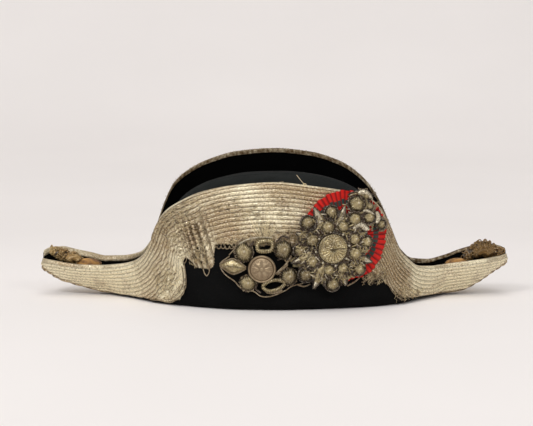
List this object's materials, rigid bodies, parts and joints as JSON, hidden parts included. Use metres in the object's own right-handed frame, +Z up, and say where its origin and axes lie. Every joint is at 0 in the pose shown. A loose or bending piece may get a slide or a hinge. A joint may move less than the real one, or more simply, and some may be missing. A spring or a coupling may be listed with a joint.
{
  "type": "parade cocked hat",
  "caption": "Fore-and-aft cocked hat in black felt with two upturned flaps, silver lace, a pleated cockade, a bullion star, a button and a tassel in each horn.",
  "frame": {"origin": "on the surface that the hat rests on, under the middle of its box", "axes": "+X towards the wearer's front, -Y towards the flap with the cockade, +Z up"},
  "size_m": [0.4394, 0.1906, 0.1318],
  "materials": {
    "felt": "black silk plush, worn and dull",
    "crown_cloth": "dark grey-green cloth",
    "lace": "ribbed silver lace, tarnished to a warm tone",
    "ribbon": "ribbed silk ribbon, red with a dark green stripe",
    "bullion": "wound metal thread, tarnished",
    "ray": "flat silver plate thread",
    "button": "silvered, worn",
    "tassel": "ochre silk head with gilt bullion"
  },
  "bodies": {
    "root": {"crown": "crown_cloth", "brim": "felt", "lace_near": "lace", "lace_far": "lace", "cockade": "ribbon", "star_backing": "bullion", "star_medallion": "bullion", "star_boss_1": "bullion", "star_boss_2": "bullion", "star_boss_3": "bullion", "star_boss_4": "bullion", "star_boss_5": "bullion", "star_boss_6": "bullion", "star_boss_7": "bullion", "star_boss_8": "bullion", "star_outer_boss_1": "bullion", "star_outer_boss_2": "bullion", "star_outer_boss_3": "bullion", "star_outer_boss_4": "bullion", "star_outer_boss_5": "bullion", "star_outer_boss_6": "bullion", "star_outer_boss_7": "bullion", "star_outer_boss_8": "bullion", "star_ray_1": "ray", "star_ray_2": "ray", "star_ray_3": "ray", "star_ray_4": "ray", "star_ray_5": "ray", "star_ray_6": "ray", "star_ray_7": "ray", "star_ray_8": "ray", "neck_flower": "bullion", "neck_boss": "bullion", "wreath_flower_1": "bullion", "wreath_flower_2": "bullion", "wreath_leaf": "bullion", "wreath_loop_1": "bullion", "wreath_loop_2": "bullion", "spray_boss_1": "bullion", "spray_boss_2": "bullion", "spray_boss_3": "bullion", "spray_boss_4": "bullion", "spray_boss_5": "bullion", "button": "button", "tassel_left": "tassel", "tassel_right": "tassel"}
  },
  "joints": []
}
